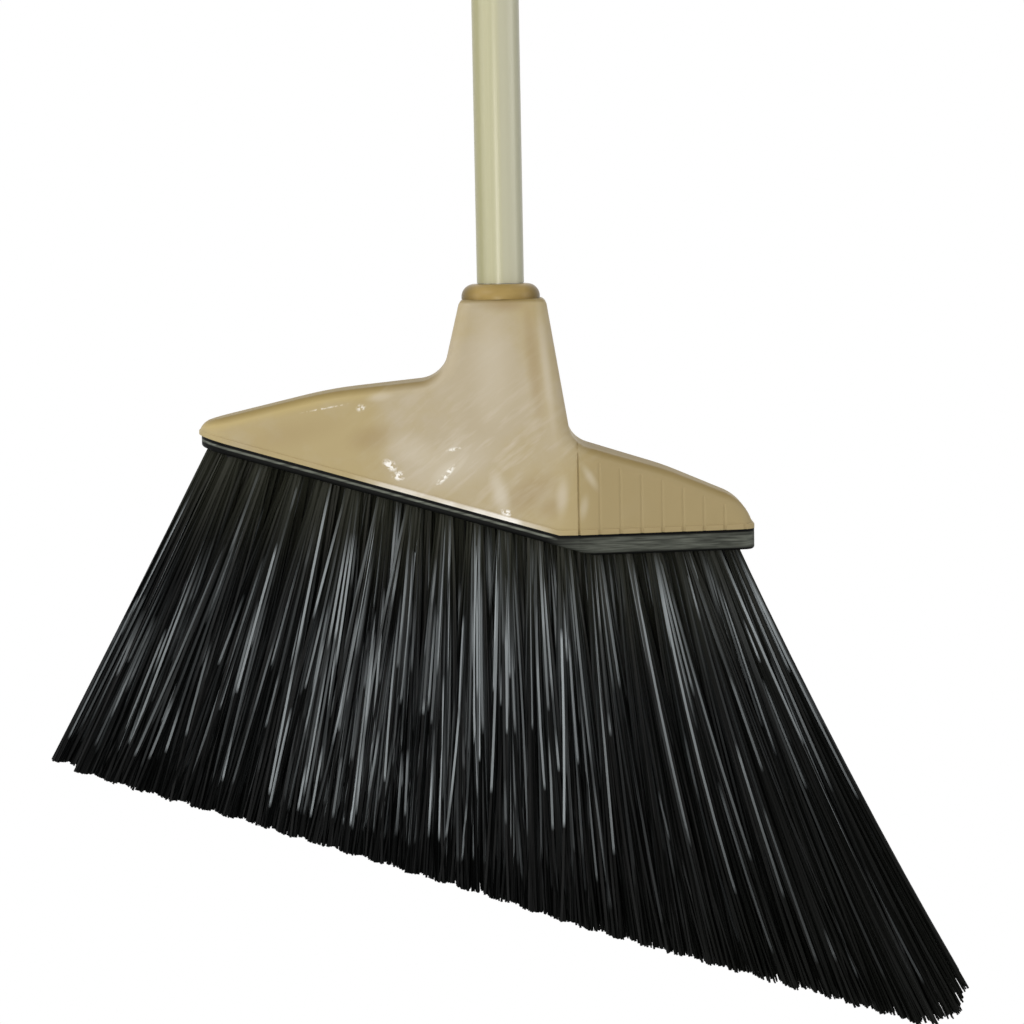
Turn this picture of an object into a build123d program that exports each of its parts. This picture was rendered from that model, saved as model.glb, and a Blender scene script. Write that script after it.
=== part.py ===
from build123d import *
from math import radians, sqrt, tan
import os

# Angle broom. X runs from the short heel to the long toe, Y from front to back and Z up the handle.
# The origin is the middle of the hang hole. Heights of the head are measured from the top of the
# collar ring. Sizes are in millimetres and angles in degrees.

# Handle
HANDLE_LENGTH = 1219.0  # top of the hanger cap to the end of the threaded tip
HANDLE_D = 22.2  # outside the sleeve
SLEEVE_WALL = 0.4
SLEEVE_GAP = 0.3  # between the sleeve's end and the collar ring
TUBE_WALL = 0.8
PLUG_GAP = 0.05  # between the tube and each plug in it
HANGER_D = 21.4
HANG_HOLE_D = 8.0
HANG_HOLE_TO_TOP = 13.0
HANG_HOLE_TO_TUBE = 24.0
HANG_TAB = 10.0  # thickness of the flattened tab around the hang hole
HANG_TAB_BELOW = 8.0  # flat of the tab below the hole's middle
HANG_RAMP = 9.0  # slope from the flat out to the full diameter
HANG_PLUG = 30.0
TIP_PLUG = 38.0
TIP_FLANGE = 2.0  # height of the flange on the tube's end
TIP_CORE_D = 10.0  # moulding core of the tip, open at its upper end
TIP_FLOOR = 5.0
THREAD_D = 19.0
THREAD_LENGTH = 30.0
THREAD_CHAMFER = 2.0

# Collar ring and socket
RING_D = 37.0
RING_H = 7.0
RING_TOP_R = 6.0
RING_GAP = 0.35  # between the tube and the ring
SPIGOT_D = 27.4
SPIGOT_H = 5.0
SOCKET_GAP = 0.35  # round the spigot, the tube and the thread
SOCKET_WALL = 1.6
SOCKET_SEAT = 4.0  # from below the spigot to the seat of the tip's flange
SOCKET_FLOOR_GAP = 3.0  # from the end of the tip to the socket's floor
SOCKET_FLOOR = 2.4

# Cap
CAP_WALL = 2.6
NECK_HEEL_HALF = 19.3  # half widths at the neck's top
NECK_TOE_HALF = 21.0
NECK_HEEL_TAPER = 13.6
NECK_TOE_TAPER = 9.2
NECK_TOP_R = 3.4
HEEL_X = -143.4
TOE_X = 117.4
CREASE_X = 34.6  # seam between the two wings
HEEL_HALF = 18.0  # half depths at the lower edge
CREASE_HALF = 28.0
TOE_HALF = 15.0
FACE_DRAFT = 3.2
EDGE_R = 7.0
CAVITY_CHAMFER = 2.6  # keeps the wall even inside the rounded edges
HEEL_CORNER_R = 16.0
HEEL_WING_Z = -43.5  # wing's top at the neck, at its break and at its end
HEEL_BREAK_X = -81.5
HEEL_BREAK_Z = -48.6
HEEL_END_Z = -62.6
HEEL_BREAK_R = 200.0
HEEL_FILLET_R = 15.0
TOE_WING_Z = -74.3
TOE_BREAK_X = 76.0
TOE_BREAK_Z = -88.0
TOE_END_Z = -105.5
TOE_BREAK_R = 120.0
TOE_FILLET_R = 13.0
TOE_CORNER_R = 22.0
CAP_EDGE_Z = -116.8  # lower edge under the toe wing
CAP_BEND_X = 25.4
HEEL_SLOPE = 16.15
RIM_PROUD = 0.6  # rounded bead along the lower edge
RIM_PROUD_HEEL = 0.15  # at the heel's end, where the bead runs out
RIM_PROUD_TOE = 0.3  # at the toe's end
RIM_H = 2.6
RIM_R = 0.9
SEAM_WIDTH = 1.4
SEAM_DEPTH = 0.9
GROOVES = 8
GROOVE_PITCH = 9.8
GROOVE_WIDTH = 1.8
GROOVE_DEPTH = 0.3
RIB_T = 2.2
BOSS_D = 8.5

# Block, screws and anchors
BAND_HEEL = 5.4  # height of the block that shows under the cap
BAND_TOE = 9.9
BAND_INSET = 1.0
BAND_TOE_PROUD = 0.2  # past the cap's toe end
BAND_R = 1.5  # lower edge of the band
PLUG_H = 8.0  # part of the block inside the cap
PLUG_FIT = 0.3
PLUG_HEEL = 22.0
PLUG_TOE = 14.0
FIELD_RIM = 3.0  # wall round the bristle field
FIELD_T = 2.6  # thickness of the tuft strips
CENTRE_HALF = 4.2  # half width of the rib that carries the screws
SCREWS_X = (-100.0, -40.0, 20.0, 80.0)
SCREW_D = 3.5
SCREW_LENGTH = 22.0
SCREW_HEAD_D = 6.6
SCREW_HEAD_H = 2.4
SCREW_HEAD_CHAMFER = 1.0
SCREW_SEAT = 4.2  # depth of the head's seat
SCREW_PASS_D = 4.3
SCREW_SINK_D = 7.4
PILOT_GAP = 0.05
PILOT_SPARE = 1.0  # pilot hole past the screw's end
ANCHOR_L = 3.6
ANCHOR_T = 0.5
ANCHOR_H = 1.4
ANCHOR_LIFT = 0.6  # room for the folded tuft under its anchor

# Bristles
ROWS_A_SIDE = 3
TUFTS = 17  # in a row
STRANDS = 4  # in a tuft
STRAND_W = 2.0
STRAND_PITCH = 2.6
STRAND_ROOT = 1.2  # strand inside its strip
FIELD_HEEL_END = 1.4  # from each end of a strip to the middle of its last strand
FIELD_TOE_END = 3.2
HEEL_FAN = 29.0
TOE_FAN = 27.0
HEEL_FAN_POWER = 1.2
TOE_FAN_POWER = 1.5
ROW_FLARE = 5.8  # lean of a strand at the crease's half depth
TRIM_Z = -290.0  # slanted cut, at the handle's axis
TRIM_SLOPE = 18.0
TOE_FLOOR_Z = -352.0  # level cut at the toe's point

# Derived places
WIDE = TOE_X - HEEL_X  # more than the depth or the height of anything on the head
BELOW = 40.0  # run-on below the cap's edge
SAME = 0.01  # places nearer than this are one
SHARP = 20.0  # turn between two faces at a sharp edge
TUBE_R = HANDLE_D / 2 - SLEEVE_WALL
TUBE_BORE_R = TUBE_R - TUBE_WALL
NECK_TOP_Z = -RING_H
SPIGOT_Z = NECK_TOP_Z - SPIGOT_H
SEAT_Z = SPIGOT_Z - SOCKET_SEAT
TUBE_END_Z = SEAT_Z + TIP_FLANGE
TIP_END_Z = SEAT_Z - THREAD_LENGTH
RING_TOP_Z = HANG_HOLE_TO_TOP - HANDLE_LENGTH - TIP_END_Z
TUBE_TOP_Z = -HANG_HOLE_TO_TUBE - RING_TOP_Z
SLOPE = tan(radians(HEEL_SLOPE))
DRAFT = tan(radians(FACE_DRAFT))
TRIM = tan(radians(TRIM_SLOPE))


def tube(radius, bore, low, high):
    """Round tube or, with no bore, a rod between two heights."""
    rod = Pos(0, 0, low) * Cylinder(radius, high - low, align=(Align.CENTER, Align.CENTER, Align.MIN))
    if not bore:
        return rod
    return rod - Pos(0, 0, low) * Cylinder(bore, high - low, align=(Align.CENTER, Align.CENTER, Align.MIN))


def turned(*outline):
    """Solid of revolution about the handle's axis, from an outline of (radius, height) edges."""
    return revolve(Plane.XZ * make_face(outline), Axis.Z)


def bent_line(heel_drop, toe_drop, heel_x, toe_x):
    """Heel end, bend and toe end of the cap's lower edge, lowered by one drop on each side of the bend."""
    toe_z = CAP_EDGE_Z - toe_drop
    bend_x = CAP_BEND_X + (toe_drop - heel_drop) / SLOPE
    return [(heel_x, toe_z + (bend_x - heel_x) * SLOPE), (bend_x, toe_z), (toe_x, toe_z)]


def bent_z(x, heel_drop, toe_drop):
    """Height of that line at one place along the head."""
    return max(CAP_EDGE_Z - toe_drop, CAP_EDGE_Z - heel_drop + (CAP_BEND_X - x) * SLOPE)


def bent_slab(low, high, heel_x=HEEL_X - WIDE, toe_x=TOE_X + WIDE):
    """Bent slab between two such lines, each given by its drops, as deep as anything on the head."""
    corners = bent_line(*low, heel_x, toe_x) + bent_line(*high, heel_x, toe_x)[::-1]
    return extrude(Plane.XZ * make_face(Polyline(*corners, close=True)), WIDE, both=True)


def face_depth(x, z):
    """Half depth of the cap's drafted faces: two flat tapers that meet at the crease."""
    heel_edge = HEEL_HALF + (bent_z(HEEL_X, 0, 0) - CAP_EDGE_Z) * DRAFT
    end_x, end_half = (HEEL_X, heel_edge) if x <= CREASE_X else (TOE_X, TOE_HALF)
    taper = (CREASE_HALF - end_half) / (CREASE_X - end_x)
    return CREASE_HALF + taper * (x - CREASE_X) - (z - CAP_EDGE_Z) * DRAFT


def half_depth(x):
    """Half depth of the head at the cap's lower edge."""
    return face_depth(x, bent_z(x, 0, 0))


def plan_face(inset, heel_x, toe_x, heel_r, toe_r):
    """Plan of the head, drawn in from the cap's lower edge, with rounded ends."""
    front = [(x, inset - half_depth(x)) for x in (heel_x, CAP_BEND_X, CREASE_X, toe_x)]
    back = [(x, -y) for x, y in front[::-1]]
    radii = (heel_r, 0, 0, toe_r, toe_r, 0, 0, heel_r)
    return make_face(FilletPolyline(*front, *back, radius=radii, close=True))


def plan_solid(inset, heel_x=HEEL_X, toe_x=TOE_X, heel_r=HEEL_CORNER_R, toe_r=EDGE_R):
    """Upright prism on that plan, through the whole height of the head."""
    face = plan_face(inset, heel_x + inset, toe_x - inset, heel_r - inset, toe_r - inset)
    return extrude(Pos(0, 0, CAP_EDGE_Z) * face, WIDE, both=True)


def hood_outline():
    """Front outline of the cap: both wings and the neck, run on below and past the heel."""
    heel_neck = -NECK_HEEL_HALF + (HEEL_WING_Z - NECK_TOP_Z) * tan(radians(NECK_HEEL_TAPER))
    toe_neck = NECK_TOE_HALF - (TOE_WING_Z - NECK_TOP_Z) * tan(radians(NECK_TOE_TAPER))
    past = HEEL_X - BELOW
    fall = (HEEL_END_Z - HEEL_BREAK_Z) / (HEEL_X - HEEL_BREAK_X)
    low = CAP_EDGE_Z - BELOW
    corners = [
        (TOE_X, low),
        (TOE_X, TOE_END_Z),
        (TOE_BREAK_X, TOE_BREAK_Z),
        (toe_neck, TOE_WING_Z),
        (NECK_TOE_HALF, NECK_TOP_Z),
        (-NECK_HEEL_HALF, NECK_TOP_Z),
        (heel_neck, HEEL_WING_Z),
        (HEEL_BREAK_X, HEEL_BREAK_Z),
        (past, HEEL_END_Z + (past - HEEL_X) * fall),
        (past, low),
    ]
    radii = (0, TOE_CORNER_R, TOE_BREAK_R, TOE_FILLET_R, 0, 0, HEEL_FILLET_R, HEEL_BREAK_R, 0, 0)
    return make_face(FilletPolyline(*corners, radius=radii, close=True))


def draft_plane(inset, heel_side, side):
    """Drafted face of one wing, drawn in from the cap's outer face. It points outwards."""
    end_x = HEEL_X if heel_side else TOE_X
    rise = face_depth(end_x, CAP_EDGE_Z) - CREASE_HALF
    taper = rise / (end_x - CREASE_X)
    return Plane((CREASE_X, side * (CREASE_HALF - inset), CAP_EDGE_Z), z_dir=(-taper, side, DRAFT))


def sharp_edges(solid):
    """Edges where two faces of a hood blank meet at a corner, off the crease, the foot and the neck's top."""
    found = []
    for edge in solid.edges():
        middle = edge @ 0.5
        ends = edge @ 0, edge @ 1
        on_crease = all(abs(p.X - CREASE_X) < SAME for p in (*ends, middle))
        on_top = all(p.Z > NECK_TOP_Z - CAP_WALL - SAME for p in ends)
        on_foot = all(p.Z < CAP_EDGE_Z - BELOW / 2 for p in ends)
        if on_crease or on_top or on_foot:
            continue
        faces = [f for f in solid.faces() if any(edge.is_same(e) for e in f.edges())]
        if len(faces) == 2 and faces[0].normal_at(middle).get_angle(faces[1].normal_at(middle)) > SHARP:
            found.append(edge)
    return found


def hood(inset, soften, size):
    """Hood blank at an inset from the cap's outer faces, with softened edges, run on below the lower edge."""
    outline = hood_outline()
    if inset:
        outline = offset(outline, -inset)
    plate = extrude(Plane.XZ * outline, WIDE, both=True)
    wings = []
    for heel_side in (True, False):
        wing = split(plate, Plane.YZ.offset(CREASE_X), keep=Keep.BOTTOM if heel_side else Keep.TOP)
        for side in (-1, 1):
            wing = split(wing, draft_plane(inset, heel_side, side), keep=Keep.BOTTOM)
        if heel_side:
            wing = split(wing, Plane.YZ.offset(HEEL_X + inset), keep=Keep.TOP)
            end = wing.faces().sort_by(Axis.X)[0]
            corners = [e for e in end.edges() if abs((e @ 0).Z - (e @ 1).Z) > EDGE_R]
            wing = fillet(corners, HEEL_CORNER_R - inset)
        wings.append(soften(sharp_edges(wing), size))
    return wings[0] + wings[1]


def outer_edges(slab, way):
    """Edges round the faces of a bent slab that look up (way 1) or down (way -1)."""
    level = [f for f in slab.faces() if f.normal_at().Z * way > 1 - SLOPE / 2]
    edges = [e for f in level for e in f.edges()]
    return [e for e in edges if sum(e.is_same(other) for other in edges) == 1]


def groove(x, width, depth, side):
    """Upright V-shaped cutter that follows the drafted face of the toe wing, on one side."""
    base = CAP_EDGE_Z - BELOW
    low, high = x - width / 2, x + width / 2
    points = [(low, 0), (low, EDGE_R), (high, EDGE_R), (high, 0), (x, -depth)]
    corners = [(px, side * (face_depth(px, base) + out)) for px, out in points]
    section = Pos(0, 0, base) * make_face(Polyline(*corners, close=True))
    return extrude(section, TOE_WING_Z + EDGE_R - base, dir=(0, -side * DRAFT, 1))


def head_cap():
    """Moulded cap: hood shell with rim bead, seam and grooves, socket, spine, cross rib and screw bosses."""
    edge = (0, 0)
    below = bent_slab((WIDE, WIDE), edge)
    outer = hood(0, fillet, EDGE_R) - below
    top_edges = [e for e in outer.edges() if abs((e @ 0.5).Z - NECK_TOP_Z) < SAME]
    outer = fillet(top_edges, NECK_TOP_R)
    ends = HEEL_X + RIM_PROUD - RIM_PROUD_HEEL, TOE_X - RIM_PROUD + RIM_PROUD_TOE
    rim = bent_slab(edge, (-RIM_H, -RIM_H)) & plan_solid(-RIM_PROUD, *ends)
    outer += fillet(outer_edges(rim, 1), RIM_R)
    for side in (-1, 1):
        outer -= groove(CREASE_X, SEAM_WIDTH, SEAM_DEPTH, side)
        for i in range(1, GROOVES + 1):
            outer -= groove(CREASE_X + i * GROOVE_PITCH, GROOVE_WIDTH, GROOVE_DEPTH, side)
    cavity = hood(CAP_WALL, chamfer, CAVITY_CHAMFER)

    floor_z = TIP_END_Z - SOCKET_FLOOR_GAP
    socket_r = SPIGOT_D / 2 + SOCKET_GAP + SOCKET_WALL
    inside = tube(socket_r, 0, floor_z - SOCKET_FLOOR, NECK_TOP_Z)
    spine = extrude(Plane.XZ * hood_outline(), RIB_T / 2, both=True)
    cross = extrude(Plane.XY * Rectangle(RIB_T, 2 * WIDE), CAP_EDGE_Z)
    inside += spine + cross
    inside += [Pos(x, 0, 0) * tube(BOSS_D / 2, 0, CAP_EDGE_Z, 0) for x in SCREWS_X]
    plug_room = bent_slab((WIDE, WIDE), (-PLUG_H - PLUG_FIT, -PLUG_H - PLUG_FIT))
    inside = (inside & cavity) - plug_room

    bores = tube(SPIGOT_D / 2 + SOCKET_GAP, 0, SPIGOT_Z, 0)
    bores += tube(TUBE_R + SOCKET_GAP, 0, SEAT_Z, 0)
    bores += tube(THREAD_D / 2 + SOCKET_GAP, 0, floor_z, 0)
    pilot_r = SCREW_D / 2 + PILOT_GAP
    pilots = []
    for x in SCREWS_X:
        pilot_top = screw_seat(x) + SCREW_LENGTH + PILOT_SPARE
        pilots.append(Pos(x, 0, 0) * tube(pilot_r, 0, CAP_EDGE_Z, pilot_top))
    return outer - cavity + inside - bores - pilots


def screw_seat(x):
    """Height of the seat under one screw's head."""
    return bent_z(x, BAND_HEEL, BAND_TOE) + SCREW_SEAT


def block_screw(x):
    """Pan head screw, driven upwards from under the block."""
    seat = screw_seat(x)
    low = seat - SCREW_HEAD_H
    head_r = SCREW_HEAD_D / 2
    top_r, side_z = head_r - SCREW_HEAD_CHAMFER, low + SCREW_HEAD_CHAMFER
    head = turned(Polyline((0, low), (top_r, low), (head_r, side_z), (head_r, seat), (0, seat), close=True))
    return Pos(x, 0, 0) * (head + tube(SCREW_D / 2, 0, seat, seat + SCREW_LENGTH))


def field_half(x):
    """Half depth of the bristle field."""
    return half_depth(x) - BAND_INSET - FIELD_RIM


def row_y(row, x, share):
    """Depth of a row at a place along the head: share 0 is its inner side and 1 its outer side."""
    side = -1 if row < ROWS_A_SIDE else 1
    place = ROWS_A_SIDE - 1 - row if side < 0 else row - ROWS_A_SIDE
    return side * (CENTRE_HALF + (place + share) / ROWS_A_SIDE * (field_half(x) - CENTRE_HALF))


def tuft_strip(row):
    """Strip of the block's underside that one row of tufts stands in."""
    past = EDGE_R
    xs = (HEEL_X - past, CAP_BEND_X, CREASE_X, TOE_X + past)
    corners = [(x, row_y(row, x, 0)) for x in xs] + [(x, row_y(row, x, 1)) for x in xs[::-1]]
    prism = extrude(Pos(0, 0, CAP_EDGE_Z) * make_face(Polyline(*corners, close=True)), WIDE, both=True)
    layer = bent_slab((BAND_HEEL, BAND_TOE), (BAND_HEEL - FIELD_T, BAND_TOE - FIELD_T))
    return layer & plan_solid(BAND_INSET + FIELD_RIM) & prism


def corner_room(row, x, radius):
    """How far a rounded corner of the field comes in from its end, at the outer side of one row's strands."""
    reach = abs(row_y(row, x, 0.5)) + STRAND_W / 2 - (field_half(x) - radius)
    return radius - sqrt(radius**2 - min(max(reach, 0), radius) ** 2)


def row_ends(row):
    """First and last place for a strand's middle along one row, inside the field's rounded ends."""
    rim = BAND_INSET + FIELD_RIM
    heel, toe = HEEL_X + rim, TOE_X - rim
    first = heel + corner_room(row, heel, HEEL_CORNER_R - rim) + FIELD_HEEL_END
    return first, toe - corner_room(row, toe, EDGE_R - rim) - FIELD_TOE_END


def tuft_places(row):
    """Middles of one row's tufts. Neighbouring rows are set half a pitch apart."""
    first, last = row_ends(row)
    spread = (STRANDS - 1) / 2 * STRAND_PITCH
    pitch = (last - first - 2 * spread) / (TUFTS - 0.5)
    return [first + spread + (i + row % 2 / 2) * pitch for i in range(TUFTS)]


def strand(row, x):
    """One strand from its strip to the trim, along the fan of the head and the flare of its row."""
    if x < 0:
        fan = -HEEL_FAN * (x / HEEL_X) ** HEEL_FAN_POWER
    else:
        fan = TOE_FAN * (x / TOE_X) ** TOE_FAN_POWER
    y = row_y(row, x, 0.5)
    run = tan(radians(fan))
    flare = tan(radians(ROW_FLARE)) * y / CREASE_HALF
    root_z = bent_z(x, BAND_HEEL, BAND_TOE)
    fall = min((root_z - TRIM_Z + TRIM * x) / (1 - TRIM * run), root_z - TOE_FLOOR_Z)
    way = Vector(run, flare, -1)
    start = Vector(x, y, root_z) - way * STRAND_ROOT
    section = Plane(start, x_dir=(1, 0, run), z_dir=way) * Rectangle(STRAND_W, STRAND_W)
    return extrude(section, (fall + STRAND_ROOT) * way.length)


def bristle_row(row):
    """Strip with all its strands."""
    steps = [(i - (STRANDS - 1) / 2) * STRAND_PITCH for i in range(STRANDS)]
    return tuft_strip(row) + [strand(row, x + step) for x in tuft_places(row) for step in steps]


def anchor(row, x, room=False):
    """Flat wire across the fold of one tuft, or the slot that it sits in."""
    heel_side = x < bent_line(BAND_HEEL - FIELD_T, BAND_TOE - FIELD_T, HEEL_X, TOE_X)[1][0]
    low = -FIELD_T / 2 if room else ANCHOR_LIFT
    high = ANCHOR_LIFT + ANCHOR_H
    wire = Pos(0, 0, low) * Box(ANCHOR_L, ANCHOR_T, high - low, align=(Align.CENTER, Align.CENTER, Align.MIN))
    place = Pos(x, row_y(row, x, 0.5), bent_z(x, BAND_HEEL - FIELD_T, BAND_TOE - FIELD_T))
    return place * Rot(0, HEEL_SLOPE if heel_side else 0, 0) * wire


def bristle_block(strips):
    """Bent block: band under the cap, plug inside it, field for the tuft strips, screw holes and slots."""
    edge = (0, 0)
    plug_inset = CAP_WALL + PLUG_FIT + PLUG_H * DRAFT
    band = bent_slab((BAND_HEEL, BAND_TOE), edge) & plan_solid(BAND_INSET, toe_x=TOE_X + BAND_INSET + BAND_TOE_PROUD)
    block = fillet(outer_edges(band, -1), BAND_R)
    plug_plan = plan_solid(plug_inset, HEEL_X + PLUG_HEEL, TOE_X - PLUG_TOE)
    block += bent_slab(edge, (-PLUG_H, -PLUG_H)) & plug_plan
    block -= strips
    holes = []
    for x in SCREWS_X:
        holes.append(Pos(x, 0, 0) * tube(SCREW_PASS_D / 2, 0, CAP_EDGE_Z - BELOW, 0))
        holes.append(Pos(x, 0, 0) * tube(SCREW_SINK_D / 2, 0, CAP_EDGE_Z - BELOW, screw_seat(x)))
    return block - holes - [anchor(row, x, room=True) for row, x in tufts()]


def tufts():
    """Row and place of every tuft."""
    return [(row, x) for row in range(2 * ROWS_A_SIDE) for x in tuft_places(row)]


def collar_ring():
    """Ring with a rounded top, and a spigot in the mouth of the socket."""
    bore = TUBE_R + RING_GAP
    outer = RING_D / 2
    foot = SPIGOT_D / 2
    corners = [(bore, 0), (outer, 0), (outer, NECK_TOP_Z)]
    corners += [(foot, NECK_TOP_Z), (foot, SPIGOT_Z), (bore, SPIGOT_Z)]
    return turned(FilletPolyline(*corners, radius=(0, RING_TOP_R, 0, 0, 0, 0), close=True))


def threaded_tip():
    """Screw tip: plug in the tube, flange on the tube's end, threaded stub and moulding core."""
    plug_r = TUBE_BORE_R - PLUG_GAP
    thread_r = THREAD_D / 2
    core_r = TIP_CORE_D / 2
    top = TUBE_END_Z + TIP_PLUG
    return turned(
        Polyline(
            (core_r, TIP_END_Z + TIP_FLOOR),
            (core_r, top),
            (plug_r, top),
            (plug_r, TUBE_END_Z),
            (TUBE_R, TUBE_END_Z),
            (TUBE_R, SEAT_Z),
            (thread_r, SEAT_Z),
            (thread_r, TIP_END_Z + THREAD_CHAMFER),
            (thread_r - THREAD_CHAMFER, TIP_END_Z),
            (0, TIP_END_Z),
            (0, TIP_END_Z + TIP_FLOOR),
            close=True,
        )
    )


def hanger_cap():
    """Domed end plug, flattened to a tab around the hang hole."""
    radius = HANGER_D / 2
    hole_z = TUBE_TOP_Z + HANG_HOLE_TO_TUBE
    dome_z = hole_z + HANG_HOLE_TO_TOP - radius
    top = (0, dome_z + radius)
    shoulder = radius * sqrt(0.5)
    body = turned(
        Polyline(top, (0, TUBE_TOP_Z), (radius, TUBE_TOP_Z), (radius, dome_z)),
        ThreePointArc((radius, dome_z), (shoulder, dome_z + shoulder), top),
    )
    flat_z = hole_z - HANG_TAB_BELOW
    for side in (-1, 1):
        cut = [(HANG_TAB / 2, flat_z), (radius, flat_z - HANG_RAMP), (WIDE, flat_z - HANG_RAMP)]
        cut += [(WIDE, hole_z + WIDE), (HANG_TAB / 2, hole_z + WIDE)]
        corners = [(side * y, z) for y, z in cut]
        body -= extrude(Plane.YZ * make_face(Polyline(*corners, close=True)), WIDE, both=True)
    body -= Pos(0, 0, hole_z) * Rot(90, 0, 0) * Cylinder(HANG_HOLE_D / 2, 2 * WIDE)
    return body + tube(TUBE_BORE_R - PLUG_GAP, 0, TUBE_TOP_Z - HANG_PLUG, TUBE_TOP_Z)


def main():
    rows = [bristle_row(row) for row in range(2 * ROWS_A_SIDE)]
    strips = [tuft_strip(row) for row in range(2 * ROWS_A_SIDE)]
    pieces = {
        "handle_sleeve": tube(HANDLE_D / 2, TUBE_R, SLEEVE_GAP, TUBE_TOP_Z),
        "handle_tube": tube(TUBE_R, TUBE_BORE_R, TUBE_END_Z, TUBE_TOP_Z),
        "threaded_tip": threaded_tip(),
        "hanger_cap": hanger_cap(),
        "collar_ring": collar_ring(),
        "cap": head_cap(),
        "bristle_block": bristle_block(strips),
        "block_screws": Compound(children=[block_screw(x) for x in SCREWS_X]),
        "tuft_anchors": Compound(children=[anchor(row, x) for row, x in tufts()]),
    }
    for row, solid in enumerate(rows, 1):
        pieces[f"bristle_row_{row}"] = solid
    os.makedirs("parts", exist_ok=True)
    for name, solid in pieces.items():
        export_step(Pos(0, 0, RING_TOP_Z) * solid, f"parts/{name}.step")


main()
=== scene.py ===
"""Angle broom: finishes, bristles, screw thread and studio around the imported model. Lengths in metres."""

import math

import bpy
import numpy as np
from mathutils import Matrix, Vector


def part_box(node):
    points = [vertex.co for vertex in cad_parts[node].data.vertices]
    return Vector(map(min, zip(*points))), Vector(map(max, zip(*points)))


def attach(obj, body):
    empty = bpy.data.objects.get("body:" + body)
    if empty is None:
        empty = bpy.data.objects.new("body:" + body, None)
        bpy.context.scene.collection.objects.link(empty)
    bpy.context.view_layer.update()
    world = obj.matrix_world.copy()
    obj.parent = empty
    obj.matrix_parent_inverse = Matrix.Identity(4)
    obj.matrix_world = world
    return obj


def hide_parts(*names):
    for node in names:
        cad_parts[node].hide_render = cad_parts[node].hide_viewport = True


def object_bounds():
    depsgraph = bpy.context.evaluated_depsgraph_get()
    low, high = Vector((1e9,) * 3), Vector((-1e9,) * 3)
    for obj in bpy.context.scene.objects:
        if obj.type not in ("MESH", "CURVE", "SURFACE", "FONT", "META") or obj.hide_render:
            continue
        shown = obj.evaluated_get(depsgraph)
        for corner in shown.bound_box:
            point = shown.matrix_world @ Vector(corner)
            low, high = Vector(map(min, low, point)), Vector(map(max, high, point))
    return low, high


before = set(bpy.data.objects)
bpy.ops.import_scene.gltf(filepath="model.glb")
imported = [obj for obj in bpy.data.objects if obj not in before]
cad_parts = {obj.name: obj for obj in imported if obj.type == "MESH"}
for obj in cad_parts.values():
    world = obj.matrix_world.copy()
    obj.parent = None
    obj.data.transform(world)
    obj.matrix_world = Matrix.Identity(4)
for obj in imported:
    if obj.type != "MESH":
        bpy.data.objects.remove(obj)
cad_low, cad_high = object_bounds()

MM = 0.001
RING_TOP_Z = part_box("collar_ring")[1].z

# Lower edge of the cap: level under the toe wing, and rising to the heel from the bend
BEND_X = 25.4 * MM
EDGE_Z = RING_TOP_Z - 116.8 * MM
HEEL_RISE = math.tan(math.radians(16.15))

# Painted shade towards the sleeve's left and right edges, and painted light right of its middle: where each
# starts and where it is full, across the handle in millimetres, then its share and its colour
SLEEVE_LIGHT_AND_SHADE = (
    (-5.0, -8.0, 0.75, "#949066"),
    (0.0, 2.0, 0.7, "#bfbda6"),
    (7.5, 10.0, 0.6, "#8c8b70"),
)

# Dust and a painted sheen on the cap, thickest round this place at the neck's foot
DUST_AND_SHEEN_MIDDLE = (-10 * MM, -22 * MM, RING_TOP_Z - 58 * MM)
DUST_AND_SHEEN_CORE = 16 * MM
DUST_AND_SHEEN_EDGE = 72 * MM

# Marks on the front of the cap, with painted glints, highlights and shade among them: along the head, below
# the ring's top, half length and half width in millimetres, rise to the right in degrees and strength
# scuffs, whitened by painted glints
SCUFF_GLINTS = (
    (-66, 56, 2.6, 2.0, 20, 1.0),
    (-53, 83, 4.0, 2.6, -35, 1.5),
    (-49, 88, 3.4, 2.4, 0, 1.5),
    (-27, 88, 7.0, 1.5, 47, 1.4),
    (-23, 76, 4.0, 1.0, 10, 0.9),
    (1, 106, 3.4, 1.8, -16, 1.5),
    (-83, 56, 12.0, 0.5, 10, 0.7),
)
# pale smears with painted reflection, and painted highlights down the middle and right side of the neck
SMEARS_AND_HIGHLIGHTS = (
    (-57, 51, 7.0, 2.6, 8, 0.45),
    (-28, 86, 13.0, 5.0, 42, 0.6),
    (-40, 78, 18.0, 9.0, -25, 0.35),
    (-20.5, 83.5, 11.0, 2.4, 50, 0.6),
    (-2, 97, 12.0, 4.6, -75, 0.65),
    (27, 99, 11.0, 3.6, 85, 0.5),
    (-25, 84, 26.0, 13.0, 20, 0.35),
    (-5, 36, 11.0, 34.0, 0, 0.3),
    (20.5, 38, 2.6, 36.0, 6, 0.4),
    (40, 90, 8.0, 2.4, -60, 0.4),
    (37, 104, 7.0, 2.6, 80, 0.35),
)
# stains, and painted shade under the ring and down the neck's right side
STAINS_AND_SHADE = (
    (1, 8.5, 14.0, 5.0, 0, 0.8),
    (12, 97, 16.0, 9.0, 30, 0.5),
    (-62, 70, 14.0, 7.0, 12, 0.5),
    (-100, 68, 30.0, 8.0, 12, 0.3),
    (14.5, 34, 4.0, 36.0, 5, 0.5),
    (22, 104, 8.0, 6.0, 20, 0.45),
)
MARK_Y = -24 * MM  # about where the front of the cap lies
MARK_HALF_DEPTH = 14 * MM
MARK_CORE = 0.1  # of a mark's half size, where it starts to fade
MARK_EDGE = 1.2

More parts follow.
